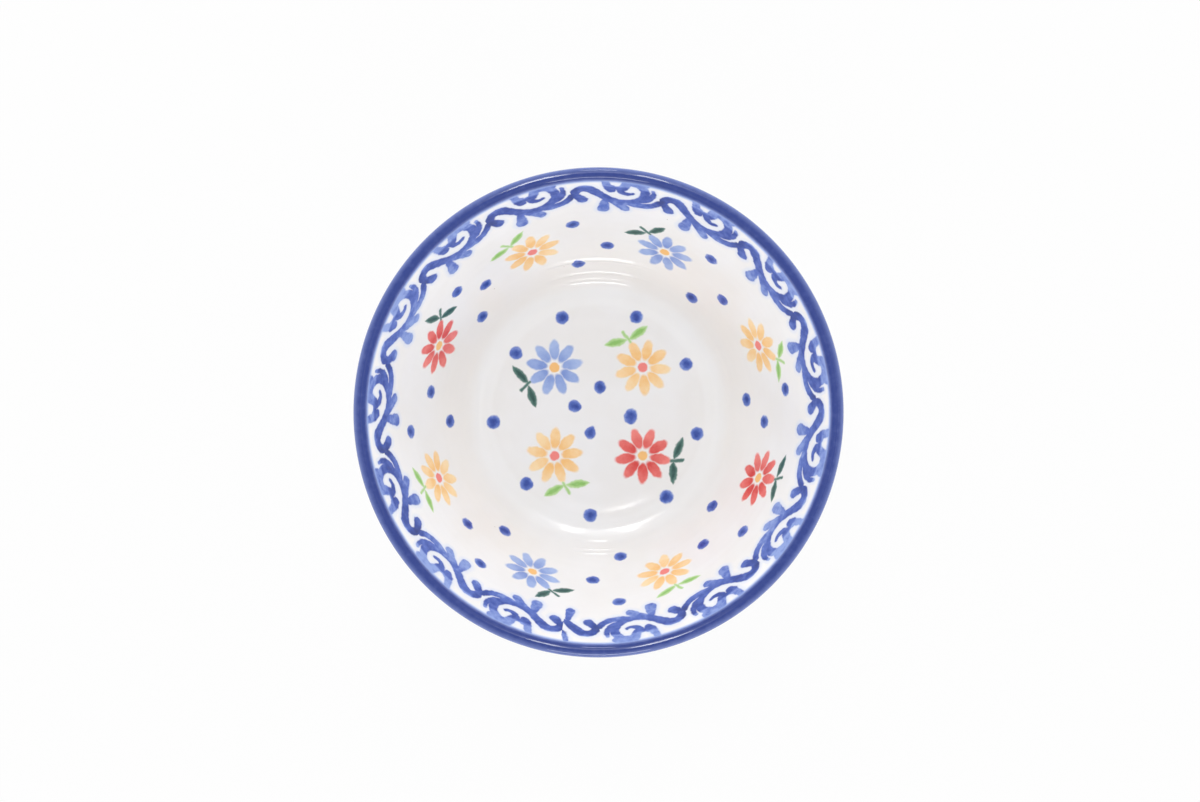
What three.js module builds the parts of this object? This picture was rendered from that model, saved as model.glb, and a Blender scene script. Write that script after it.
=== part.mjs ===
// A thrown stoneware nesting bowl: one fired clay vessel with the glaze coats melted onto it.
// Millimetres, +Z up. The bowl stands on its foot ring, with the origin under its middle.

import * as THREE from "three";

// Overall sizes, over the glaze
const RIM_DIAMETER = 150;
const HEIGHT = 64;
const LIP_THICKNESS = 4;

// Inside of the clay: a flat floor with a sunk middle, and a flared wall
const WELL_DIAMETER = 79;
const HEEL_DIAMETER = 95;
const HEEL_THICKNESS = 4;
const DISC_DIAMETER = 66;
const DISC_DEPTH = 0.5;
const DISC_STEP = 2;
const FLOOR_THICKNESS = 6;

// Foot ring and the recess inside it
const FOOT_DIAMETER = 82;
const FOOT_HEIGHT = 5;
const FOOT_WIDTH = 5.2;
const FOOT_FILLET = 1.8;
const TREAD_ROUND = 1.2;
const RECESS_DEPTH = 4;
const RECESS_FILLET = 1.6;

// Glaze coats: how thick they are, how far the rim band runs down each face of the wall,
// and how much of the foot's outer side stays bare
const GLAZE = 0.4;
const BAND_INSIDE = 0.8;
const BAND_OUTSIDE = 6;
const BARE_FOOT = 2.2;

// Facets round the bowl, and steps along the curves of its profile
const FACETS = 48;
const WALL_STEPS = 9;
const BAND_STEPS = 2;
const LIP_STEPS = 7;
const ROUND_STEPS = 3;

// Points of a profile that lie closer than this are one point
const SAME_PLACE = 0.001;

// A profile is drawn in radius and height. It runs from the middle of the floor up the inside,
// over the lip, down the outside and under the foot, with the clay on its right hand.
const at = (radius, height) => new THREE.Vector2(radius, height);

// Places along a curve, each with the direction that faces away from the clay
function trace(curve, steps, from = 0, to = 1) {
  const places = [];
  for (let step = 0; step <= steps; step += 1) {
    const share = from + ((to - from) * step) / steps;
    const along = curve.getTangent(share);
    places.push({ point: curve.getPoint(share), away: at(-along.y, along.x) });
  }
  return places;
}

const line = (start, end) => trace(new THREE.LineCurve(start, end), 1);

function fillet(start, corner, end) {
  return trace(new THREE.QuadraticBezierCurve(start, corner, end), ROUND_STEPS);
}

const clayFace = (places) => places.map(({ point }) => point);

function glazeFace(places) {
  return places.map(({ point, away }) => point.clone().addScaledVector(away, GLAZE));
}

// A profile without repeated points, running anticlockwise so that its faces point outwards
function tidy(points) {
  const outline = points.filter((point, i) => i === 0 || point.distanceTo(points[i - 1]) > SAME_PLACE);
  return THREE.ShapeUtils.area(outline) < 0 ? outline.reverse() : outline;
}

// A solid of revolution about the upright axis
function revolve(points) {
  const geometry = new THREE.LatheGeometry(tidy(points), FACETS);
  geometry.rotateX(Math.PI / 2);
  return geometry;
}

// A glaze coat between the clay and a face parallel to it
function coat(places) {
  const strip = [...clayFace(places), ...glazeFace(places).reverse()];
  const startsOnAxis = places[0].point.x === 0;
  return revolve(startsOnAxis ? strip : [...strip, strip[0]]);
}

// Levels and radii that follow from the driving sizes
const floorLevel = RECESS_DEPTH + FLOOR_THICKNESS;
const discLevel = floorLevel - DISC_DEPTH;
const discRadius = DISC_DIAMETER / 2;
const footRadius = FOOT_DIAMETER / 2;
const recessRadius = footRadius - FOOT_WIDTH;
const wellEdge = at(WELL_DIAMETER / 2, floorLevel);
const insideHeel = at(HEEL_DIAMETER / 2, floorLevel);
const outsideHeel = at(insideHeel.x + HEEL_THICKNESS, FOOT_HEIGHT);
const footTop = at(footRadius + FOOT_FILLET, FOOT_HEIGHT);

// The lip is a round that both faces of the wall run into
const lipRound = LIP_THICKNESS / 2 - GLAZE;
const lipCentre = at((RIM_DIAMETER - LIP_THICKNESS) / 2, HEIGHT - LIP_THICKNESS / 2);

// The bearing, seen from the lip's centre, where the line from a heel touches the round
function lipBearing(heel, side) {
  const reach = lipCentre.clone().sub(heel);
  const lean = reach.angle() + side * Math.asin(lipRound / reach.length());
  return lean + (side * Math.PI) / 2;
}

function lipPoint(bearing) {
  return lipCentre.clone().addScaledVector(at(Math.cos(bearing), Math.sin(bearing)), lipRound);
}

const bearingIn = lipBearing(insideHeel, 1);
const bearingOut = lipBearing(outsideHeel, -1);
const { x: lipX, y: lipY } = lipCentre;
const lip = new THREE.EllipseCurve(lipX, lipY, lipRound, lipRound, bearingIn, bearingOut, true);

// Both faces of the wall are one sweep each: level at the floor or the foot, tangent to the lip
const wallIn = new THREE.QuadraticBezierCurve(wellEdge, insideHeel, lipPoint(bearingIn));
const wallOut = new THREE.QuadraticBezierCurve(lipPoint(bearingOut), outsideHeel, footTop);
const bandStart = wallIn.getUtoTmapping(0, wallIn.getLength() - BAND_INSIDE);
const bandEnd = wallOut.getUtoTmapping(0, BAND_OUTSIDE);

// The step between the sunk disc and the rest of the floor
const discStep = new THREE.CubicBezierCurve(
  at(discRadius - DISC_STEP / 2, discLevel),
  at(discRadius, discLevel),
  at(discRadius, floorLevel),
  at(discRadius + DISC_STEP / 2, floorLevel),
);

const insidePlaces = [
  ...line(at(0, discLevel), at(discRadius - DISC_STEP / 2, discLevel)),
  ...trace(discStep, ROUND_STEPS),
  ...line(at(discRadius + DISC_STEP / 2, floorLevel), wellEdge),
  ...trace(wallIn, WALL_STEPS, 0, bandStart),
];

const bandPlaces = [
  ...trace(wallIn, 1, bandStart, 1),
  ...trace(lip, LIP_STEPS),
  ...trace(wallOut, BAND_STEPS, 0, bandEnd),
];

const outsidePlaces = [
  ...trace(wallOut, WALL_STEPS, bandEnd, 1),
  ...fillet(footTop, at(footRadius, FOOT_HEIGHT), at(footRadius, FOOT_HEIGHT - FOOT_FILLET)),
  ...line(at(footRadius, FOOT_HEIGHT - FOOT_FILLET), at(footRadius, BARE_FOOT)),
];

// The bare foot ring: its outer side, the rounded tread that it stands on, its inner side
const treadOut = footRadius - TREAD_ROUND;
const treadIn = recessRadius + TREAD_ROUND;
const barePlaces = [
  ...line(at(footRadius, BARE_FOOT), at(footRadius, TREAD_ROUND)),
  ...fillet(at(footRadius, TREAD_ROUND), at(footRadius, 0), at(treadOut, 0)),
  ...line(at(treadOut, 0), at(treadIn, 0)),
  ...fillet(at(treadIn, 0), at(recessRadius, 0), at(recessRadius, TREAD_ROUND)),
  ...line(at(recessRadius, TREAD_ROUND), at(recessRadius, RECESS_DEPTH - RECESS_FILLET)),
];

const basePlaces = [
  ...fillet(
    at(recessRadius, RECESS_DEPTH - RECESS_FILLET),
    at(recessRadius, RECESS_DEPTH),
    at(recessRadius - RECESS_FILLET, RECESS_DEPTH),
  ),
  ...line(at(recessRadius - RECESS_FILLET, RECESS_DEPTH), at(0, RECESS_DEPTH)),
];

const vesselPlaces = [...insidePlaces, ...bandPlaces, ...outsidePlaces, ...barePlaces, ...basePlaces];

const CLAY = { color: 0xcdbfae, roughness: 0.85, metalness: 0 };
const WHITE_GLAZE = { color: 0xeae7e3, roughness: 0.12, metalness: 0 };
const COBALT_GLAZE = { color: 0x3f4f92, roughness: 0.12, metalness: 0 };

function piece(name, geometry, finish) {
  const mesh = new THREE.Mesh(geometry, new THREE.MeshStandardMaterial(finish));
  mesh.name = name;
  return mesh;
}

const bowl = new THREE.Group();
bowl.add(
  piece("stoneware_body", revolve(clayFace(vesselPlaces)), CLAY),
  piece("inner_glaze", coat(insidePlaces), WHITE_GLAZE),
  piece("rim_band", coat(bandPlaces), COBALT_GLAZE),
  piece("outer_glaze", coat(outsidePlaces), WHITE_GLAZE),
  piece("base_glaze", coat(basePlaces.toReversed()), WHITE_GLAZE),
);

export default bowl;
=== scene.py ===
# A thrown stoneware nesting bowl: the turned clay vessel and the painted glaze coats melted onto it.
# Metres, +Z up, in the frame of the CAD solids. Painted marks are laid out in millimetres.
import math

import bpy
import numpy as np
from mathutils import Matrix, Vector


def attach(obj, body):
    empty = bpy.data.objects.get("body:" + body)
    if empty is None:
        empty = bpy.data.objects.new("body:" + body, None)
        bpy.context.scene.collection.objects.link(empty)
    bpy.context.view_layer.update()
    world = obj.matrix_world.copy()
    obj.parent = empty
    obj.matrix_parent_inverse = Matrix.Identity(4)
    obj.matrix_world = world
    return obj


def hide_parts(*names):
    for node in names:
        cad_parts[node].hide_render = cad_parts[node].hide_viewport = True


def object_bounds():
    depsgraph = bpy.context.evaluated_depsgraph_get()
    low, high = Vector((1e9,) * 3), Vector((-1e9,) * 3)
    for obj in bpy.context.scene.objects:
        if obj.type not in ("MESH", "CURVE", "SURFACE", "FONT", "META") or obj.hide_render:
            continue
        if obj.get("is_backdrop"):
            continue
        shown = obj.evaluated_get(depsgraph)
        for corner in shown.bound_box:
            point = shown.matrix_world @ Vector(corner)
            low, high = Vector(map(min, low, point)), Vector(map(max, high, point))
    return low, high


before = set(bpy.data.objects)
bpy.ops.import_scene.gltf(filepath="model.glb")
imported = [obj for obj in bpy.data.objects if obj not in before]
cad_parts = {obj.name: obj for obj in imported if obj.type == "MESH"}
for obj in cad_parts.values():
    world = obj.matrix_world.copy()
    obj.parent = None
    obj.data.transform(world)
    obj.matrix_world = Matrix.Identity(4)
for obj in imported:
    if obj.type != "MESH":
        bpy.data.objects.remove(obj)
cad_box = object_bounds()

MM = 0.001

# Sizes of the bowl, as the solids have them
RIM_RADIUS = 75 * MM
HEIGHT = 64 * MM
LIP_THICKNESS = 4 * MM
WELL_RADIUS = 39.5 * MM
HEEL_RADIUS = 47.5 * MM
HEEL_THICKNESS = 4 * MM
DISC_RADIUS = 33 * MM
DISC_DEPTH = 0.5 * MM
DISC_STEP = 2 * MM
FLOOR_THICKNESS = 6 * MM
FOOT_RADIUS = 41 * MM
FOOT_HEIGHT = 5 * MM
FOOT_WIDTH = 5.2 * MM
FOOT_FILLET = 1.8 * MM
TREAD_ROUND = 1.2 * MM
RECESS_DEPTH = 4 * MM
RECESS_FILLET = 1.6 * MM
GLAZE = 0.4 * MM
BAND_INSIDE = 0.8 * MM
BAND_OUTSIDE = 6 * MM
BARE_FOOT = 2.2 * MM

# How finely the wheel turns the pieces
SPIN_STEPS = 240
CURVE_STEPS = 600
FRONT_REACH = 0.5 * MM
FRONT_TURN = math.radians(3)
BODY_REACH = 1.5 * MM
BODY_TURN = math.radians(5)
BACK_REACH = 3 * MM
BACK_TURN = math.radians(12)
SEAM_STEPS = (0.05 * MM, 0.15 * MM, 0.3 * MM)
SAME_PLACE = 0.002 * MM
SHARP_EDGE = math.radians(40)

# Low waves from throwing
RIDGE_HEIGHT = 0.006 * MM
RIDGE_PITCH = 3.3 * MM
RIDGE_DRIFT = 5.1 * MM
RIDGE_FADE = 6 * MM

# Rings that a finger left: length along the profile, height and half width, then the bearing of the
# ring's middle, how far it stays at full height to each side, and where it has died out, in degrees.
# Its steps are counted in half widths, and a weight under the least one moves nothing.
FINGER_RINGS = (
    (44.6 * MM, 0.12 * MM, 0.45 * MM, 92, 7, 15),
    (47.7 * MM, 0.21 * MM, 0.6 * MM, 90, 11, 24),
    (54.5 * MM, 0.44 * MM, 0.88 * MM, 90, 11, 24),
    (47.0 * MM, 0.19 * MM, 0.5 * MM, -91, 4.5, 9),
    (49.0 * MM, 0.25 * MM, 0.55 * MM, -91, 4.5, 9),
)
RING_STEPS = np.linspace(-2.4, 2.4, 21)
RING_LEAST = 0.005

# Glaze that settled: the round it fills the corner of the floor to, the stretch of floor where it
# softens the step, and its bead above the bare foot
POOL_ROUND = 10 * MM
SETTLE_START = 29.9 * MM
SETTLE_END = 34.7 * MM
LEVEL_TRIES = 6
BEAD_ROUND = 0.4 * MM
BEAD_SWELL = 0.35
BEAD_PLACE = 1.1 * MM
BEAD_WIDTH = 0.7 * MM


# Profile of the clay, from the middle of the floor up the inside, over the lip and under the foot

def bend(start, corner, end):
    """Places on a curve that leaves start and reaches end heading by way of corner."""
    shares = np.linspace(0, 1, CURVE_STEPS)[:, None]
    start, corner, end = np.array(start), np.array(corner), np.array(end)
    points = start * (1 - shares) ** 2 + corner * 2 * shares * (1 - shares) + end * shares**2
    headings = (corner - start) * (1 - shares) + (end - corner) * shares
    return points, headings


def straight(start, end):
    middle = (np.array(start) + np.array(end)) / 2
    return bend(start, middle, end)


def round_over(centre, radius, first, last):
    """Places on an arc that runs clockwise from one bearing to another."""
    bearings = np.linspace(first, last, CURVE_STEPS)[:, None]
    spokes = np.hstack([np.cos(bearings), np.sin(bearings)])
    headings = np.hstack([np.sin(bearings), -np.cos(bearings)])
    return np.array(centre) + radius * spokes, headings


class Profile:
    """The clay's outline in radius and height, measured along its length, with the way it faces."""

    def __init__(self, stretches):
        self.start = {}
        length = 0.0
        rows = []
        for name, (points, headings) in stretches.items():
            self.start[name] = length
            steps = np.linalg.norm(np.diff(points, axis=0), axis=1)
            along = length + np.concatenate([[0.0], np.cumsum(steps)])
            headings = headings / np.linalg.norm(headings, axis=1)[:, None]
            faces = np.stack([-headings[:, 1], headings[:, 0]], axis=1)
            rows.append(np.column_stack([along, points, faces]))
            length = along[-1]
        self.length = length
        rows = np.vstack(rows)
        keep = np.concatenate([[True], np.diff(rows[:, 0]) > 0])
        self.along, self.radius, self.height, self.face_out, self.face_up = rows[keep].T

    def at(self, along, lift=0.0):
        """Points of radius and height at these lengths, lifted off the clay by this much."""
        radius = np.interp(along, self.along, self.radius)
        height = np.interp(along, self.along, self.height)
        face_out = np.interp(along, self.along, self.face_out)
        face_up = np.interp(along, self.along, self.face_up)
        return np.column_stack([radius + face_out * lift, height + face_up * lift])

    def rings(self, first, last, reach, swing):
        """Lengths from first to last for the wheel's rings, closer where the profile bends."""
        inside = (self.along > first) & (self.along < last)
        along = np.concatenate([[first], self.along[inside], [last]])
        bearing = np.unwrap(np.arctan2(self.face_up, self.face_out))
        bearing = np.interp(along, self.along, bearing)
        effort = np.diff(along) / reach + np.abs(np.diff(bearing)) / swing
        effort = np.concatenate([[0.0], np.cumsum(effort)])
        count = math.ceil(effort[-1]) + 1
        rings = np.interp(np.linspace(0, effort[-1], count), effort, along)
        seams = [first + step for step in SEAM_STEPS] + [last - step for step in SEAM_STEPS]
        return np.unique(np.concatenate([rings, seams]))


floor_level = RECESS_DEPTH + FLOOR_THICKNESS
disc_level = floor_level - DISC_DEPTH
step_in = DISC_RADIUS - DISC_STEP / 2
step_out = DISC_RADIUS + DISC_STEP / 2
step_middle = (DISC_RADIUS, floor_level - DISC_DEPTH / 2)
foot_top = (FOOT_RADIUS + FOOT_FILLET, FOOT_HEIGHT)
fillet_end = (FOOT_RADIUS, FOOT_HEIGHT - FOOT_FILLET)
recess_radius = FOOT_RADIUS - FOOT_WIDTH
tread_out = (FOOT_RADIUS - TREAD_ROUND, 0)
tread_in = (recess_radius + TREAD_ROUND, 0)
recess_foot = (recess_radius, TREAD_ROUND)
recess_top = (recess_radius, RECESS_DEPTH - RECESS_FILLET)
recess_edge = (recess_radius - RECESS_FILLET, RECESS_DEPTH)
inside_heel = (HEEL_RADIUS, floor_level)
outside_heel = (HEEL_RADIUS + HEEL_THICKNESS, FOOT_HEIGHT)
lip_round = LIP_THICKNESS / 2 - GLAZE
lip_centre = (RIM_RADIUS - LIP_THICKNESS / 2, HEIGHT - LIP_THICKNESS / 2)


def lip_bearing(heel, side):
    """Where the line from a heel touches the lip's round, seen from the round's centre."""
    out, up = lip_centre[0] - heel[0], lip_centre[1] - heel[1]
    lean = math.atan2(up, out) + side * math.asin(lip_round / math.hypot(out, up))
    return lean + side * math.pi / 2


def lip_point(bearing):
    return (
        lip_centre[0] + lip_round * math.cos(bearing),
        lip_centre[1] + lip_round * math.sin(bearing),
    )


bearing_in = lip_bearing(inside_heel, 1)
bearing_out = lip_bearing(outside_heel, -1)

clay = Profile({
    "disc": straight((0, disc_level), (step_in, disc_level)),
    "step foot": bend((step_in, disc_level), ((step_in + DISC_RADIUS) / 2, disc_level), step_middle),
    "step top": bend(step_middle, ((step_out + DISC_RADIUS) / 2, floor_level), (step_out, floor_level)),
    "floor": straight((step_out, floor_level), (WELL_RADIUS, floor_level)),
    "inside wall": bend((WELL_RADIUS, floor_level), inside_heel, lip_point(bearing_in)),
    "lip": round_over(lip_centre, lip_round, bearing_in, bearing_out),
    "outside wall": bend(lip_point(bearing_out), outside_heel, foot_top),
    "foot fillet": bend(foot_top, (FOOT_RADIUS, FOOT_HEIGHT), fillet_end),
    "foot side": straight(fillet_end, (FOOT_RADIUS, BARE_FOOT)),
    "bare side": straight((FOOT_RADIUS, BARE_FOOT), (FOOT_RADIUS, TREAD_ROUND)),
    "tread outside": bend((FOOT_RADIUS, TREAD_ROUND), (FOOT_RADIUS, 0), tread_out),
    "tread": straight(tread_out, tread_in),
    "tread inside": bend(tread_in, (recess_radius, 0), recess_foot),
    "recess side": straight(recess_foot, recess_top),
    "recess fillet": bend(recess_top, (recess_radius, RECESS_DEPTH), recess_edge),
    "recess": straight(recess_edge, (0, RECESS_DEPTH)),
})

# Where the glaze coats meet, along the profile
band_start = clay.start["lip"] - BAND_INSIDE
band_end = clay.start["outside wall"] + BAND_OUTSIDE
foot_line = clay.start["bare side"]
recess_line = clay.start["recess fillet"]


def waves_on_wall(along):
    """Low waves, which die out at the middle and towards the band."""
    fade = np.clip(along / RIDGE_FADE, 0, 1) * np.clip((band_start - along) / RIDGE_FADE, 0, 1)
    waves = np.sin(math.tau * along / RIDGE_PITCH) + np.sin(math.tau * along / RIDGE_DRIFT)
    return RIDGE_HEIGHT * fade * waves


def corner_pool():
    """Centre of the round that touches the glazed floor and wall, and where it meets the wall."""
    lengths = np.linspace(clay.start["inside wall"], clay.start["lip"], CURVE_STEPS)
    wall = clay.at(lengths, GLAZE)
    level = floor_level + GLAZE + POOL_ROUND
    half_width = np.sqrt(np.maximum(POOL_ROUND**2 - (wall[:, 1] - level) ** 2, 0))
    room = wall[:, 0] - half_width
    touch = np.argmin(room)
    return np.array([room[touch], level]), lengths[touch]


def glazed_floor(radius):
    """Height of the glazed floor, where the glaze softens the step."""
    share = np.clip((radius - SETTLE_START) / (SETTLE_END - SETTLE_START), 0, 1)
    return disc_level + GLAZE + DISC_DEPTH * share**2 * (3 - 2 * share)


def settled_glaze(along):
    """Thickness of the glaze that has run down the wall: even but for the step and the corner."""
    points = clay.at(along)
    faces = clay.at(along, 1.0) - points
    thickness = np.full(len(along), GLAZE)
    for _ in range(LEVEL_TRIES):
        level = glazed_floor(points[:, 0] + faces[:, 0] * thickness)
        on_floor = along < clay.start["inside wall"]
        thickness = np.where(on_floor, (level - points[:, 1]) / faces[:, 1], GLAZE)
    centre, pool_end = corner_pool()
    spokes = centre - points
    inward = (spokes * faces).sum(axis=1)
    chord = np.sqrt(np.maximum(inward**2 - (spokes**2).sum(axis=1) + POOL_ROUND**2, 0))
    in_corner = (points[:, 0] > centre[0]) & (along < pool_end)
    return np.where(in_corner, inward - chord, thickness)


def inside_glaze(along):
    """Thickness of the coat on the inside: settled glaze with low waves."""
    return settled_glaze(along) + waves_on_wall(along)


def even_glaze(along):
    return np.full(len(along), GLAZE)


def bead(reach):
    """Glaze thickness this far from the edge where the coat stops: a rounded, slightly swollen edge."""
    nose = np.clip(reach / BEAD_ROUND, 0, 1)
    swell = 1 + BEAD_SWELL * np.exp(-(((reach - BEAD_PLACE) / BEAD_WIDTH) ** 2))
    return GLAZE * np.sqrt(1 - (1 - nose) ** 2) * swell


# Pieces, turned as on a wheel

def turn(name, outline):
    """A solid of revolution: the outline is drawn point by point, then spun about the bowl's axis."""
    bpy.ops.object.select_all(action="DESELECT")
    radius, height = outline[0]
    bpy.ops.mesh.primitive_plane_add(size=MM, location=(radius, 0, height))
    bpy.ops.object.transform_apply(location=True, rotation=False, scale=False)
    piece = bpy.context.object
    piece.name = name
    piece.data.name = name
    bpy.ops.object.mode_set(mode="EDIT")
    bpy.ops.mesh.select_all(action="SELECT")
    bpy.ops.mesh.merge(type="CENTER")
    for out, up in np.diff(outline, axis=0).tolist():
        bpy.ops.mesh.extrude_region_move(TRANSFORM_OT_translate={"value": (out, 0, up)})
    bpy.ops.object.mode_set(mode="OBJECT")
    wheel = piece.modifiers.new("wheel", "SCREW")
    wheel.axis = "Z"
    wheel.angle = math.tau
    wheel.steps = SPIN_STEPS
    wheel.render_steps = SPIN_STEPS
    bpy.ops.object.modifier_apply(modifier=wheel.name)
    bpy.ops.object.mode_set(mode="EDIT")
    bpy.ops.mesh.select_all(action="SELECT")
    bpy.ops.mesh.remove_doubles(threshold=SAME_PLACE)
    bpy.ops.mesh.normals_make_consistent(inside=False)
    bpy.ops.object.mode_set(mode="OBJECT")
    bpy.ops.object.shade_smooth_by_angle(angle=SHARP_EDGE)
    return piece


def section_and_bearing(piece):
    """Radius and height of each point of a piece, and its bearing round the axis in degrees."""
    points = np.empty(3 * len(piece.data.vertices), dtype=np.float32)
    piece.data.vertices.foreach_get("co", points)
    x, y, z = points.reshape(-1, 3).T
    return np.column_stack([np.hypot(x, y), z]), np.degrees(np.arctan2(y, x))


def mark_length(piece, lengths, face):
    """Stores on each point how far along the profile it lies, for the painting to follow."""
    section, _ = section_and_bearing(piece)
    nearest = np.empty(len(section), dtype=np.float32)
    for i in range(0, len(section), SPIN_STEPS):
        gaps = section[i:i + SPIN_STEPS, None, :] - face[None, :, :]
        nearest[i:i + SPIN_STEPS] = lengths[np.argmin((gaps**2).sum(axis=2), axis=1)]
    piece.data.attributes.new("along", "FLOAT", "POINT").data.foreach_set("value", nearest)


def coat(name, first, last, thickness, finer=()):
    """A glaze coat between the clay and a face that this thickness lifts off it."""
    lengths = np.unique(np.concatenate([clay.rings(first, last, FRONT_REACH, FRONT_TURN), finer]))
    front = clay.at(lengths, thickness(lengths))
    back = clay.at(clay.rings(first, last, BACK_REACH, BACK_TURN)[::-1])
    if last == clay.length:
        outline = np.vstack([front[::-1], back[::-1]])
    elif first == 0:
        outline = np.vstack([front, back])
    else:
        outline = np.vstack([front, back, front[:1]])
    steps = np.linalg.norm(np.diff(outline, axis=0), axis=1)
    outline = outline[np.concatenate([[True], steps > SAME_PLACE])]
    piece = turn(name, outline)
    mark_length(piece, lengths, front)
    return piece


def press_ring(piece, middle, height, width, bearing, full, end):
    """Raises a finger ring on the face of a coat that has just been turned."""
    section, turned = section_and_bearing(piece)
    along = np.empty(len(section), dtype=np.float32)
    piece.data.attributes["along"].data.foreach_get("value", along)
    on_clay = clay.at(along)
    thickness = ((section - on_clay) * (clay.at(along, 1.0) - on_clay)).sum(axis=1)
    off_middle = np.abs((turned - bearing + 180) % 360 - 180)
    share = np.clip((end - off_middle) / (end - full), 0, 1)
    weight = np.exp(-(((along - middle) / width) ** 2)) * share**2 * (3 - 2 * share)
    ring = piece.vertex_groups.new(name="finger ring")
    for index in np.flatnonzero((weight > RING_LEAST) & (thickness > GLAZE / 2)).tolist():
        ring.add([index], float(weight[index]), "REPLACE")
    press = piece.modifiers.new("finger ring", "DISPLACE")
    press.vertex_group = ring.name
    press.strength = height
    press.mid_level = 0
    bpy.ops.object.modifier_apply(modifier=press.name)
    piece.vertex_groups.clear()


def place(piece, node):
    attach(piece, "root")
    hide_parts(node)


body_lengths = clay.rings(0, clay.length, BODY_REACH, BODY_TURN)
vessel = turn("turned_vessel", clay.at(body_lengths))
ring_lengths = np.concatenate([middle + width * RING_STEPS for middle, _, width, *_ in FINGER_RINGS])
inside = coat("painted_inside", 0, band_start, inside_glaze, ring_lengths)
for finger_ring in FINGER_RINGS:
    press_ring(inside, *finger_ring)
lip = coat("cobalt_lip", band_start, band_end, even_glaze)
outside = coat("glazed_outside", band_end, foot_line, lambda along: bead(foot_line - along))
recess = coat("glazed_recess", recess_line, clay.length, lambda along: bead(along - recess_line))

place(vessel, "stoneware_body")
place(inside, "inner_glaze")
place(lip, "rim_band")
place(outside, "outer_glaze")
place(recess, "base_glaze")


# Shader maths

class Value:
    """A shader socket for Python expressions: each operator adds the Math node that works it out."""

    def __init__(self, tree, socket=None):
        self.tree = tree
        self.socket = socket

    def node(self, kind, inputs, output=0, **settings):
        """Any node: its settings are set first, then the values or links of its sockets."""
        node = self.tree.nodes.new(kind)
        for name, setting in settings.items():
            setattr(node, name, setting)
        for key, value in inputs.items():
            if isinstance(value, Value):
                self.tree.links.new(value.socket, node.inputs[key])
            else:
                node.inputs[key].default_value = value
        return Value(self.tree, node.outputs[output])

    def math(self, operation, *operands):
        return self.node("ShaderNodeMath", dict(enumerate(operands)), operation=operation)

    def vector(self, operation, *operands, output=0):
        return self.node("ShaderNodeVectorMath", dict(enumerate(operands)), output, operation=operation)

    def parts(self):
        """The first two parts of this vector."""
        return [self.node("ShaderNodeSeparateXYZ", {0: self}, output=axis) for axis in (0, 1)]

    def with_up(self, up):
        """The flat vector that has this as its first part and up as its second."""
        return self.node("ShaderNodeCombineXYZ", {0: self, 1: up})

    def feed(self, node, name):
        """Links this to the socket of that name on a node."""
        self.tree.links.new(self.socket, node.inputs[name])

    def __add__(self, other):
        return self.math("ADD", self, other)

    def __sub__(self, other):
        return self.math("SUBTRACT", self, other)

    def __rsub__(self, other):
        return self.math("SUBTRACT", other, self)

    def __mul__(self, other):
        return self.math("MULTIPLY", self, other)

    def __truediv__(self, other):
        return self.math("DIVIDE", self, other)

    __radd__ = __add__
    __rmul__ = __mul__

    def map(self, low, high, first=0.0, last=1.0):
        """Goes smoothly from first to last while this goes from low to high."""
        limits = {0: self, 1: low, 2: high, 3: first, 4: last}
        return self.node("ShaderNodeMapRange", limits, interpolation_type="SMOOTHSTEP")

    def ramp(self, low, high, first, last):
        """Goes evenly from first to last while this goes from low to high, and stays there."""
        return self.node("ShaderNodeMapRange", {0: self, 1: low, 2: high, 3: first, 4: last})

    def noise(self, size, detail=2.0, output=0):
        """Noise with blotches of about this size in metres, from 0 to 1, at this place."""
        inputs = {"Vector": self, "Scale": 1 / size, "Detail": detail}
        return self.node("ShaderNodeTexNoise", inputs, output)

    def chance(self, output=0):
        """A random number from 0 to 1, or a vector of three, for each whole number."""
        return self.node("ShaderNodeTexWhiteNoise", {"W": self}, output, noise_dimensions="1D")

    def mix(self, first, last):
        """The colour that goes from first to last as this goes from 0 to 1."""
        inputs = {0: self, 6: first, 7: last}
        return self.node("ShaderNodeMix", inputs, 2, data_type="RGBA")

    def shades(self, stops):
        """The colour that goes through these stops, each a place from 0 to 1 and a colour."""
        (low, shade), *others = stops
        for high, next_shade in others:
            shade = self.ramp(low, high, 0.0, 1.0).mix(shade, next_shade)
            low = high
        return shade


def colour(red, green, blue):
    """A colour written as it shows on a screen, from 0 to 255, as the light that it stands for."""
    shares = [channel / 255 for channel in (red, green, blue)]
    light = [s / 12.92 if s <= 0.04045 else ((s + 0.055) / 1.055) ** 2.4 for s in shares]
    return (*light, 1.0)


# Colours of the glaze and the paints
GLAZE_WHITE = colour(239, 238, 237)
GLAZE_WARM = colour(236, 234, 231)
# A warm tint, lighter than the glaze, that also paints light on the lower wall
BLUSH_AND_PAINTED_LIGHT = colour(247, 242, 235)
# Painted light: lighter glaze that lifts the shade in the corner of the floor
CORNER_PAINTED_LIGHT = colour(246, 246, 245)
COBALT_DEEP = colour(26, 50, 124)
COBALT = colour(42, 70, 156)
COBALT_THIN = colour(80, 106, 187)
COBALT_WASH = colour(138, 160, 216)
COBALT_RIM = colour(98, 114, 174)
COBALT_STAIN = colour(206, 217, 238)
RED = colour(214, 66, 62)
CORAL = colour(240, 132, 124)
YELLOW = colour(244, 190, 118)
PALE_YELLOW = colour(250, 220, 172)
BLUE = colour(118, 144, 208)
PALE_BLUE = colour(166, 186, 228)
DARK_GREEN = colour(36, 78, 72)
MOSS_GREEN = colour(82, 122, 112)
LIGHT_GREEN = colour(140, 192, 100)
PALE_GREEN = colour(184, 216, 152)
SPECK = colour(150, 132, 116)
CLAY_PALE = colour(212, 196, 172)
CLAY_DARK = colour(176, 152, 122)

# Shades of the cobalt, from a thin wash to where it lies thickest
PAINT_SHADES = ((0.0, COBALT_WASH), (0.35, COBALT_THIN), (0.7, COBALT), (1.0, COBALT_DEEP))
BAND_SHADES = ((0.0, COBALT_WASH), (0.35, COBALT_RIM), (1.0, COBALT_DEEP))


# Brush marks: each gives how far a place lies outside the mark, in millimetres

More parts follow.
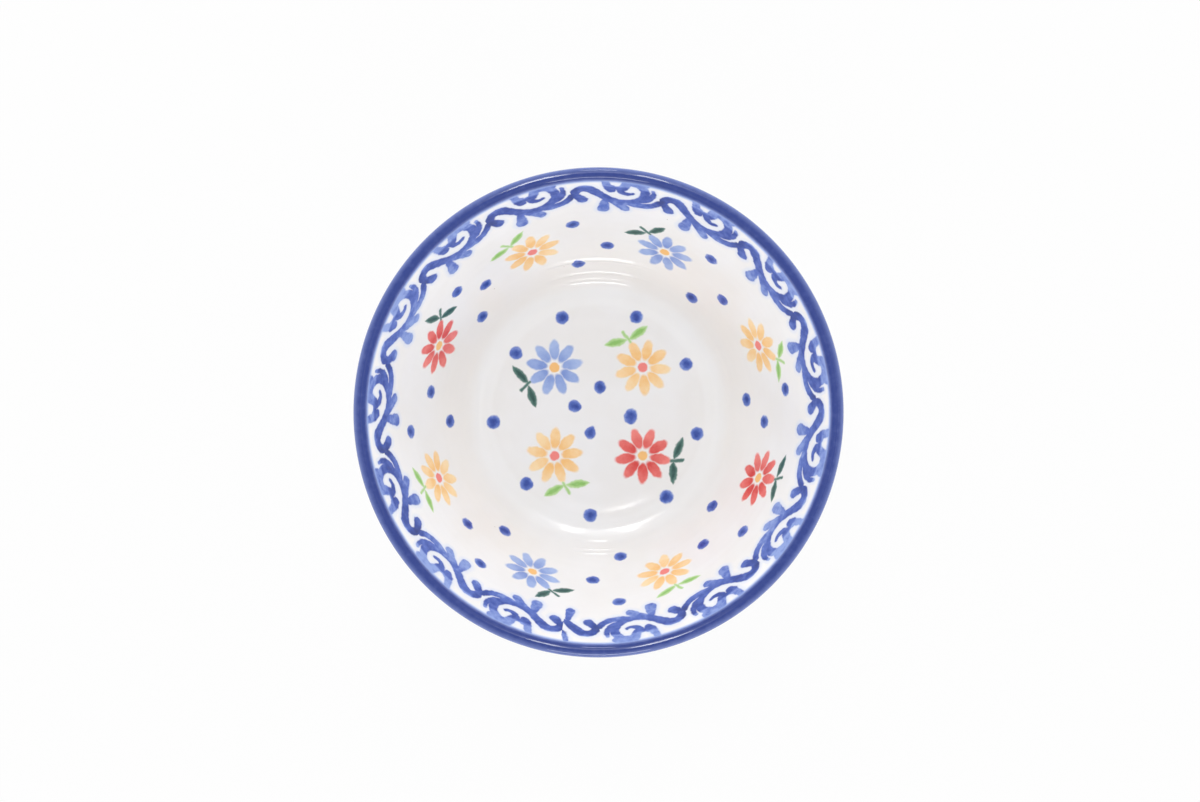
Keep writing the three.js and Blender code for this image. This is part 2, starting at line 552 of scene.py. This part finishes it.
def dab(point, start, end, start_width, end_width, belly=0.0):
    """A straight mark that swells or tapers along its length, with a belly halfway."""
    run = Vector((end[0] - start[0], end[1] - start[1], 0))
    offset = point.vector("SUBTRACT", point, (*start, 0))
    share = offset.vector("DOT_PRODUCT", offset, run / run.length_squared, output=1)
    share = share.node("ShaderNodeClamp", {0: share})
    nearest = share.node("ShaderNodeVectorMath", {0: run, 3: share}, operation="SCALE")
    width = share.math("MULTIPLY_ADD", share, end_width - start_width, start_width)
    if belly:
        width = width + share * (1 - share) * (4 * belly)
    return offset.vector("DISTANCE", offset, nearest, output=1) - width


def curl(point, centre, sweep, reach, width):
    """A mark that curls round a centre from one bearing to another, with its reach and width there."""
    low, high = sorted(sweep)
    middle = (low + high) / 2
    offset = point.vector("SUBTRACT", point, (*centre, 0))
    across, up = offset.parts()
    bearing = offset.math("ARCTAN2", up, across)
    bearing = bearing.math("WRAP", bearing, math.radians(middle + 180), math.radians(middle - 180))
    bearing = bearing.node("ShaderNodeClamp", {0: bearing, 1: math.radians(low), 2: math.radians(high)})
    first, last = math.radians(sweep[0]), math.radians(sweep[1])
    slope = (reach[1] - reach[0]) / (last - first)
    here = bearing.math("MULTIPLY_ADD", bearing, slope, reach[0] - slope * first)
    nearest = (bearing.math("COSINE", bearing) * here).with_up(bearing.math("SINE", bearing) * here)
    slope = (width[1] - width[0]) / (last - first)
    here = bearing.math("MULTIPLY_ADD", bearing, slope, width[0] - slope * first)
    return offset.vector("DISTANCE", offset, nearest, output=1) - here


def together(marks, blend):
    """Marks that run into each other: the nearest counts, with their meeting rounded by blend."""
    nearest = None
    for mark in marks:
        nearest = mark if nearest is None else mark.math("SMOOTH_MIN", nearest, mark, blend)
    return nearest


# The running scroll under the band. Marks are in millimetres: across to the right, then down.
# It is painted clockwise from a seam, where the last repeat is cut short, and sits lower near the seam.
SCROLL_SEAM = math.radians(-99.5)
SCROLLS = 15.4
SCROLL_PITCH = 27.8
SCROLL_LEAN = 0.2
SCROLL_LEVEL = 4.5
SCROLL_MARGIN = 1.0
SCROLL_SAG = 0.8
SCROLL_SPREAD = 0.13
SCROLL_BLEND = 0.3
SCROLL_END = (SCROLLS - 0.07, SCROLLS + 0.02)
SCROLL_STAIN = 0.5
SCROLL_STAIN_REACH = 2.0

# Strength of its pigment: pale under the band, full below it, paler again towards the lower tips,
# uneven from one repeat to the next and stronger where two repeats overlap. Four numbers, here and
# below, are the two ends of a stretch and the values there.
PALE_TOP = (2.8, 4.2, 0.12, 0.56)
PALE_TIPS = (8.0, 16.5, 0.0, 0.4)
REPEAT_SPREAD = 0.25
OVERLAP = (10.6, 13.8, 0.0, 0.25)


def scroll_marks(point):
    yield curl(point, (3.7, 7.3), (155, 300), (2.95, 2.85), (1.25, 1.8))
    yield dab(point, (1.2, 8.6), (3.0, 11.1), 1.3, 1.7)
    yield dab(point, (5.5, 5.0), (10.4, 10.2), 1.75, 1.4)
    yield curl(point, (16.6, 5.0), (143, -46), (8.04, 5.3), (1.5, 1.4))
    yield curl(point, (21.0, 5.6), (114, 24), (7.25, 7.1), (1.45, 1.1))
    yield curl(point, (21.0 - SCROLL_PITCH, 5.6), (60, 24), (7.16, 7.1), (1.24, 1.1))
    yield curl(point, (19.5, 5.0), (-24, 58), (5.7, 5.0), (0.5, 1.6))
    yield dab(point, (10.2, 12.0), (9.8, 16.7), 1.1, 2.0)
    yield dab(point, (13.2, 12.4), (16.9, 15.7), 1.4, 1.55)
    yield dab(point, (9.9, -0.6), (10.9, 3.4), 1.0, 1.3)
    yield dab(point, (11.5, 4.0), (12.0, 5.4), 1.8, 1.35)
    yield dab(point, (11.8, 4.0), (14.8, 4.0), 1.0, 1.0)
    yield dab(point, (21.2, 0.2), (17.4, 0.0), 2.1, 2.0)
    yield dab(point, (16.9, 0.2), (15.5, 4.2), 1.7, 1.3)
    yield curl(point, (17.2, 4.8), (195, 48), (2.4, 2.2), (1.35, 0.55))


def scroll_border(angle, drop, wobble, blotch):
    """How far a place lies outside the scroll, and the strength of the pigment there."""
    drop = drop - (1 - angle.math("SINE", angle)) * SCROLL_SAG
    past_seam = (SCROLL_SEAM - angle) / math.tau
    turns = past_seam.math("FLOORED_MODULO", past_seam, 1.0) * SCROLLS
    cell = turns - (drop - SCROLL_LEVEL) * (SCROLL_LEAN / SCROLL_PITCH) + SCROLL_MARGIN / SCROLL_PITCH
    cell = cell.math("FLOOR", cell)
    across = (turns - cell) * SCROLL_PITCH
    point = across.with_up(drop)
    point = point.vector("ADD", point, wobble)
    cut_short = turns.map(*SCROLL_END)
    outside_mark = together(scroll_marks(point), SCROLL_BLEND) + cut_short - SCROLL_SPREAD
    strength = drop.map(*PALE_TOP) - drop.map(*PALE_TIPS)
    strength = strength + (cell.chance() - 0.5) * REPEAT_SPREAD + blotch
    overlap = across.math("ABSOLUTE", across - SCROLL_PITCH / 2).map(*OVERLAP)
    return outside_mark, strength + overlap


# Dots: length along the profile in millimetres, how many, and how far round they lie, as a share of
# their spacing. They stray from there, and are darkest in the middle.
DOT_RADIUS = 2.2
DOT_RINGS = (
    (9.0, 4, 0.1),
    (34.0, 9, 0.3),
    (52.0, 8, -0.14),
    (64.5, 8, 0.1),
    (76.0, 8, -0.14),
)
DOT_STRAY = 5.0
DOT_SHADE = (-1.9, 0.1, 0.72, 0.18)


def spread_of(width):
    """Factor and offset that centre a random vector on zero and spread it this wide on the flat."""
    return (width, width, 0), (-width / 2, -width / 2, 0)


def dots(angle, along, wobble):
    """How far a place lies outside the nearest dot."""
    nearest = None
    for level, count, first in DOT_RINGS:
        girth = float(np.interp(level * MM, clay.along, clay.radius)) / MM
        turns = angle * (count / math.tau) + first
        index = turns.math("ROUND", turns)
        stray = (index.math("FLOORED_MODULO", index, count) + level).chance(output=1)
        across = (turns - index) * (math.tau * girth / count)
        point = across.with_up(along - level)
        point = point.vector("ADD", point, wobble)
        stray = stray.vector("MULTIPLY_ADD", stray, *spread_of(DOT_STRAY))
        mark = point.vector("DISTANCE", point, stray, output=1) - DOT_RADIUS
        nearest = mark if nearest is None else mark.math("MINIMUM", nearest, mark)
    return nearest


# Flowers: a ring of petals round an eye, with a stem and leaves. Marks in millimetres from the eye.
FLOWERS_ON_WALL = 8
FLOWERS_ON_FLOOR = 4
WALL_LEVEL = 66.0
FLOOR_LEVEL = 20.5
FLOOR_EDGE = 38.0
PETALS = 9
PETAL_REACH = 5.8
PETAL_HALF_LENGTH = 3.4
PETAL_HALF_WIDTH = 1.7
PETAL_PALING = (3.0, 8.0, 0.0, 0.5)
PETAL_SPREAD = 0.5
EYE_RADIUS = 1.6
LEAF_BLEND = 0.2
LEAF_PALING = (-1.1, -0.1)
TILT_SPREAD = 1.0
FLOOR_TILT = 1.6

# Numbers that set the random draws of one flower apart from another's
FLOOR_DRAW = 20
FLOWER_DRAW = 40.0

# The colours come round every few flowers: red first, blue third, yellow between
FLOWER_KINDS = 4.0
RED_KIND = 0.0
BLUE_KIND = 2.0
KIND_MARGIN = 0.1


def petals(reach, bearing):
    """How far a place lies outside the ring of petals, and the number of the nearest petal."""
    turns = bearing * (PETALS / math.tau)
    index = turns.math("ROUND", turns)
    lean = (turns - index) * (math.tau / PETALS)
    outward = (lean.math("COSINE", lean) * reach - PETAL_REACH) / PETAL_HALF_LENGTH
    across = lean.math("SINE", lean) * reach / PETAL_HALF_WIDTH
    gap = outward.math("SQRT", outward * outward + across * across)
    return (gap - 1) * PETAL_HALF_WIDTH, index


def leaf_marks(point):
    yield dab(point, (0.0, 9.4), (0.9, 13.2), 0.45, 0.6)
    yield dab(point, (1.0, 10.4), (8.2, 12.0), 0.3, 0.1, belly=1.15)
    yield dab(point, (-0.2, 10.2), (-7.4, 11.6), 0.3, 0.1, belly=1.15)


def flowers(angle, along, girth, wobble, blotch):
    """Marks and colours of the petals, the eye and the leaves of the flower nearest to this place."""
    on_floor = along.math("LESS_THAN", along, FLOOR_EDGE)
    count = on_floor * (FLOWERS_ON_FLOOR - FLOWERS_ON_WALL) + FLOWERS_ON_WALL
    turns = angle * count / math.tau + 0.5
    index = turns.math("ROUND", turns)
    lean = (turns - index) * math.tau / count
    index = index.math("FLOORED_MODULO", index, count)
    level = on_floor * (FLOOR_LEVEL - WALL_LEVEL) + WALL_LEVEL
    across = lean.math("SINE", lean) * girth
    outward = lean.math("COSINE", lean) * along - level
    tilt = (index + on_floor * FLOOR_DRAW).chance().ramp(0, 1, -TILT_SPREAD, TILT_SPREAD)
    turned = {"Vector": across.with_up(outward), "Angle": tilt + on_floor * FLOOR_TILT}
    point = across.node("ShaderNodeVectorRotate", turned, rotation_type="Z_AXIS")
    point = point.vector("ADD", point, wobble)
    reach = point.vector("LENGTH", point, output=1)
    petal, number = petals(reach, point.math("ARCTAN2", *point.parts()))
    tone = (number + index * FLOWER_DRAW).chance() * PETAL_SPREAD + reach.map(*PETAL_PALING) + blotch
    kind = index.math("FLOORED_MODULO", index, FLOWER_KINDS)
    is_red = kind.math("COMPARE", kind, RED_KIND, KIND_MARGIN)
    is_blue = kind.math("COMPARE", kind, BLUE_KIND, KIND_MARGIN)
    is_dark = is_red + is_blue
    petal_colour = tone.mix(YELLOW, PALE_YELLOW)
    petal_colour = is_red.mix(petal_colour, tone.mix(RED, CORAL))
    petal_colour = is_blue.mix(petal_colour, tone.mix(BLUE, PALE_BLUE))
    eye_colour = is_dark.mix(CORAL, YELLOW)
    leaf = together(leaf_marks(point), LEAF_BLEND)
    green = leaf.map(*LEAF_PALING) + blotch
    leaf_colour = is_dark.mix(green.mix(LIGHT_GREEN, PALE_GREEN), green.mix(DARK_GREEN, MOSS_GREEN))
    return (petal, petal_colour), (reach - EYE_RADIUS, eye_colour), (leaf, leaf_colour)


# Glazes and clay. A speck's radius is a share of the spacing, and where it comes out below zero there
# is no speck.
CLOUD_SIZE = 18 * MM
CLOUD_SPAN = (0.3, 0.7)
SPECK_SPACING = 11 * MM
SPECK_SIZES = (0.7, 1.0, -0.01, 0.022)
SPECK_EDGE = (-0.004, 0.008, 0.75, 0.0)
GLAZE_IOR = 1.5
PATCH_SIZE = 9 * MM
PATCH_SPAN = (0.3, 0.7)
GLAZE_ROUGHNESS = (0.09, 0.13)
LIP_ROUGHNESS = (0.03, 0.06)
SWELL_SIZE = 5 * MM
SWELL_HEIGHT = 0.05 * MM
SWELL_STRENGTH = 0.25
CLAY_GRAIN = 0.6 * MM
CLAY_SPAN = (0.35, 0.7)
CLAY_ROUGHNESS = 0.85
CLAY_HEIGHT = 0.1 * MM
CLAY_STRENGTH = 0.6

# Unsteadiness of the brush, in millimetres, and of the pigment, in shares of its shades
WOBBLE_SIZE = 1.6 * MM
WOBBLE = 0.7
BLOTCH_SIZE = 2.2 * MM
BLOTCH = 0.9
BAND_BLOTCH = 0.3
BRUSH_EDGE = 0.3

# Stretches of the inside in millimetres along the profile: a warm tint that also paints light on the
# wall, less of it on the near side, and painted light that lifts the shade in the corner of the floor
BLUSH_LIGHT_FROM = (39.0, 45.0, 0.0, 0.5)
BLUSH_LIGHT_TO = (50.0, 72.0, 1.0, 0.0)
BLUSH_LIGHT_NEAR = (-45 * MM, 0.0, 0.25, 1.0)
CORNER_LIGHT_FROM = (34.0, 36.0, 0.0, 0.35)
CORNER_LIGHT_TO = (40.0, 44.0, 1.0, 0.0)

# Edges of the band in millimetres from its seams: where it starts and stops, where the cobalt deepens
# and pales again over the lip, thinner there and with a painted sheen, and how far it stains the glaze
BAND_IN = (-1.2, 0.1)
BAND_OUT = (-0.5, 0.5)
DEEPENING = (-0.4, 1.6)
THINNING_AND_SHEEN = (2.4, 4.6)
LIP_THINNING_AND_SHEEN = 0.7
STAIN_IN = (-1.8, -0.4)
STAIN_OUT = (0.0, 2.0)
BAND_STAIN = 0.6


def new_material(name):
    material = bpy.data.materials.new(name)
    material.use_nodes = True
    tree = material.node_tree
    return material, tree.nodes["Principled BSDF"], Value(tree)


def glaze_base(bench):
    """Off-white glaze with soft clouding and a few specks of iron from the clay."""
    place_on = bench.node("ShaderNodeTexCoord", {}, "Object")
    clouds = place_on.noise(CLOUD_SIZE, 3.0)
    base = clouds.map(*CLOUD_SPAN).mix(GLAZE_WHITE, GLAZE_WARM)
    cells = {"Vector": place_on, "Scale": 1 / SPECK_SPACING}
    middle = bench.node("ShaderNodeTexVoronoi", cells, "Distance")
    size = bench.node("ShaderNodeSeparateXYZ", {0: bench.node("ShaderNodeTexVoronoi", cells, "Color")})
    speck = (middle - size.ramp(*SPECK_SIZES)).map(*SPECK_EDGE)
    return place_on, speck.mix(base, SPECK)


def length_along(bench):
    """How far along the profile a place lies, in millimetres."""
    return bench.node("ShaderNodeAttribute", {}, "Fac", attribute_name="along") / MM


def roughen(shader, bench, height, depth, strength):
    """Tilts the surface by a height from 0 to 1 that stands for this depth."""
    rise = {"Strength": strength, "Distance": depth, "Height": height}
    bench.node("ShaderNodeBump", rise, "Normal").feed(shader, "Normal")


def set_gloss(shader, bench, place_on, roughness):
    """The melted surface: glossy, with slight swells that waver in the highlights."""
    shader.inputs["IOR"].default_value = GLAZE_IOR
    place_on.noise(PATCH_SIZE).ramp(*PATCH_SPAN, *roughness).feed(shader, "Roughness")
    roughen(shader, bench, place_on.noise(SWELL_SIZE, 1.0), SWELL_HEIGHT, SWELL_STRENGTH)


def blotches(place_on):
    """Unevenness of the pigment, round zero."""
    return place_on.noise(BLOTCH_SIZE, 3.0) - 0.5


def edge_at(along, seam, edge, first=0.0, last=1.0):
    """Goes from first to last over an edge, which is given from the seam."""
    return along.map(seam / MM + edge[0], seam / MM + edge[1], first, last)


def band_stain(along, base):
    """Cobalt that has bled a little way into the glaze on both sides of the band."""
    stain = edge_at(along, band_start, STAIN_IN) * edge_at(along, band_end, STAIN_OUT, 1.0, 0.0)
    return (stain * BAND_STAIN).mix(base, COBALT_STAIN)


def cobalt_band(along, base, blotch):
    """Cobalt over the lip, deepest just inside it and paler where it turns outwards: thinner there,
    with a painted sheen.
    """
    amount = edge_at(along, band_start, BAND_IN) * edge_at(along, band_end, BAND_OUT, 1.0, 0.0)
    # Paler over the lip: thinner cobalt, and a painted sheen
    thinned_and_sheen = edge_at(along, band_start, THINNING_AND_SHEEN, 0.0, LIP_THINNING_AND_SHEEN)
    depth = edge_at(along, band_start, DEEPENING) - thinned_and_sheen + blotch
    return amount.mix(base, depth.shades(BAND_SHADES))


def laid_on(base, mark, pigment):
    """The pigment over the base, where the mark is, with the soft edge of a brush."""
    return mark.map(-BRUSH_EDGE, BRUSH_EDGE, 1.0, 0.0).mix(base, pigment)


def painted_glaze():
    material, shader, bench = new_material("painted glaze")
    place_on, base = glaze_base(bench)
    along = length_along(bench)
    x, y = place_on.parts()
    angle = bench.math("ARCTAN2", y, x)
    girth = bench.math("SQRT", x * x + y * y) / MM
    grain = place_on.noise(WOBBLE_SIZE, 1.0, output=1)
    wobble = grain.vector("MULTIPLY_ADD", grain, *spread_of(WOBBLE))
    blotch = blotches(place_on) * BLOTCH
    # A warm tint with painted light over the lower wall, weaker on the near side
    blush_and_light = along.map(*BLUSH_LIGHT_FROM) * along.map(*BLUSH_LIGHT_TO) * y.map(*BLUSH_LIGHT_NEAR)
    base = blush_and_light.mix(base, BLUSH_AND_PAINTED_LIGHT)
    # Painted light that lifts the shade in the corner of the floor
    corner_light = along.map(*CORNER_LIGHT_FROM) * along.map(*CORNER_LIGHT_TO)
    base = corner_light.mix(base, CORNER_PAINTED_LIGHT)
    for mark, pigment in flowers(angle, along, girth, wobble, blotch):
        base = laid_on(base, mark, pigment)
    scroll, scroll_strength = scroll_border(angle, band_start / MM - along, wobble, blotch)
    base = band_stain(along, base)
    base = scroll.map(0.0, SCROLL_STAIN_REACH, SCROLL_STAIN, 0.0).mix(base, COBALT_STAIN)
    dot = dots(angle, along, wobble)
    dot_strength = dot.map(*DOT_SHADE) + blotch
    base = laid_on(base, dot, dot_strength.shades(PAINT_SHADES))
    base = laid_on(base, scroll, scroll_strength.shades(PAINT_SHADES))
    cobalt_band(along, base, blotch * BAND_BLOTCH).feed(shader, "Base Color")
    set_gloss(shader, bench, place_on, GLAZE_ROUGHNESS)
    return material


def banded_glaze(name, roughness):
    """Plain glaze with the cobalt band, for the coats that meet at the band's lower edge."""
    material, shader, bench = new_material(name)
    place_on, base = glaze_base(bench)
    along = length_along(bench)
    base = cobalt_band(along, band_stain(along, base), blotches(place_on) * BAND_BLOTCH)
    base.feed(shader, "Base Color")
    set_gloss(shader, bench, place_on, roughness)
    return material


def fired_clay():
    material, shader, bench = new_material("fired clay")
    grain = bench.node("ShaderNodeTexCoord", {}, "Object").noise(CLAY_GRAIN, 4.0)
    grain.map(*CLAY_SPAN).mix(CLAY_PALE, CLAY_DARK).feed(shader, "Base Color")
    shader.inputs["Roughness"].default_value = CLAY_ROUGHNESS
    roughen(shader, bench, grain, CLAY_HEIGHT, CLAY_STRENGTH)
    return material


inside.data.materials.append(painted_glaze())
lip.data.materials.append(banded_glaze("cobalt glaze", LIP_ROUGHNESS))
plain = banded_glaze("plain glaze", GLAZE_ROUGHNESS)
outside.data.materials.append(plain)
recess.data.materials.append(plain)
vessel.data.materials.append(fired_clay())


# Studio: camera over the bowl, floor, lamps
CAMERA_PLACE = (0.45 * MM, 3.48 * MM, 762.5 * MM)
LENS = 68.7
SENSOR = 36
FLOOR_SIZE = 6.0
FLOOR_WHITE = 0.7
FLOOR_GLOW = 0.93
LAMP_DISTANCE = 1.0
SKY_TOP = 0.2
SKY_LOW = 1.32
SKY_LOW_REACH = 0.45
WHITE = (1, 1, 1, 1)

# Lamps: tilt off the bowl's axis and azimuth in degrees, width and height in metres, power in watts.
# Narrow ones on the far side stand in front of a wide dim one. Then come fills, low strips and two
# faint ones at the sides.
LAMPS = (
    ("left_lamp", 24, 105, (0.07, 0.45), 0.6),
    ("left_core", 21, 105.5, (0.1, 0.16), 0.6),
    ("right_lamp", 26.5, 77, (0.06, 0.33), 0.6),
    ("softbox", 27, 91, (0.45, 0.4), 0.95),
    ("near_fill", 42, -90, (1.2, 0.5), 0.6),
    ("far_fill", 46, 90, (1.2, 0.5), 0.65),
    ("near_strip", 64, -90, (0.39, 0.16), 1.75),
    ("far_strip", 64, 90, (0.13, 0.16), 0.5),
    ("left_side", 17, 180, (0.3, 0.05), 0.09),
    ("right_side", 17, 0, (0.3, 0.05), 0.12),
)

camera_data = bpy.data.cameras.new("camera")
camera_data.lens = LENS
camera_data.sensor_width = SENSOR
camera = bpy.data.objects.new("camera", camera_data)
camera.location = CAMERA_PLACE
bpy.context.collection.objects.link(camera)
bpy.context.scene.camera = camera


def seen_directly(bench):
    """1 for what the camera sees straight on, in a reflection or through glass, and 0 for lighting."""
    kinds = ("Is Camera Ray", "Is Glossy Ray", "Is Transmission Ray")
    first, second, third = [bench.node("ShaderNodeLightPath", {}, kind) for kind in kinds]
    return bench.math("MAXIMUM", bench.math("MAXIMUM", first, second), third)


def make_floor():
    bpy.ops.object.select_all(action="DESELECT")
    bpy.ops.mesh.primitive_plane_add(size=FLOOR_SIZE)
    floor = bpy.context.object
    floor.name = "studio_floor"
    material, shader, bench = new_material("studio floor")
    shader.inputs["Base Color"].default_value = (FLOOR_WHITE, FLOOR_WHITE, FLOOR_WHITE, 1)
    shader.inputs["Roughness"].default_value = 1.0
    glow = bench.node("ShaderNodeEmission", {"Color": WHITE, "Strength": 1.0})
    share = seen_directly(bench) * FLOOR_GLOW
    lit = Value(bench.tree, shader.outputs[0])
    surface = bench.node("ShaderNodeMixShader", {0: share, 1: lit, 2: glow})
    surface.feed(bench.tree.nodes["Material Output"], "Surface")
    floor.data.materials.append(material)
    floor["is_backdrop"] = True


def make_lamp(name, tilt, azimuth, size, power):
    """A softbox that faces the bowl from this bearing."""
    data = bpy.data.lights.new(name, "AREA")
    data.shape = "RECTANGLE"
    data.size, data.size_y = size
    data.energy = power
    lamp = bpy.data.objects.new(name, data)
    tilt, azimuth = math.radians(tilt), math.radians(azimuth)
    bearing = Vector((
        math.sin(tilt) * math.cos(azimuth),
        math.sin(tilt) * math.sin(azimuth),
        math.cos(tilt),
    ))
    lamp.location = bearing * LAMP_DISTANCE
    lamp.rotation_euler = bearing.to_track_quat("Z", "Y").to_euler()
    bpy.context.collection.objects.link(lamp)


def make_sky():
    """A white studio all round, which lights the bowl more from low down than from overhead."""
    world = bpy.data.worlds.new("studio")
    bpy.context.scene.world = world
    world.use_nodes = True
    bench = Value(world.node_tree)
    toward = bench.node("ShaderNodeTexCoord", {}, "Generated")
    rise = bench.node("ShaderNodeSeparateXYZ", {0: toward}, output=2)
    strength = rise.ramp(SKY_LOW_REACH, 1.0, SKY_LOW, SKY_TOP)
    direct = seen_directly(bench)
    strength = direct + (1 - direct) * strength
    background = world.node_tree.nodes["Background"]
    background.inputs["Color"].default_value = WHITE
    strength.feed(background, "Strength")


make_floor()
for lamp in LAMPS:
    make_lamp(*lamp)
make_sky()
bpy.context.scene.view_settings.view_transform = "Standard"

boxes = {"cad": cad_box, "visual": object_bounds()}
{name: [list(corner) for corner in box] for name, box in boxes.items()}
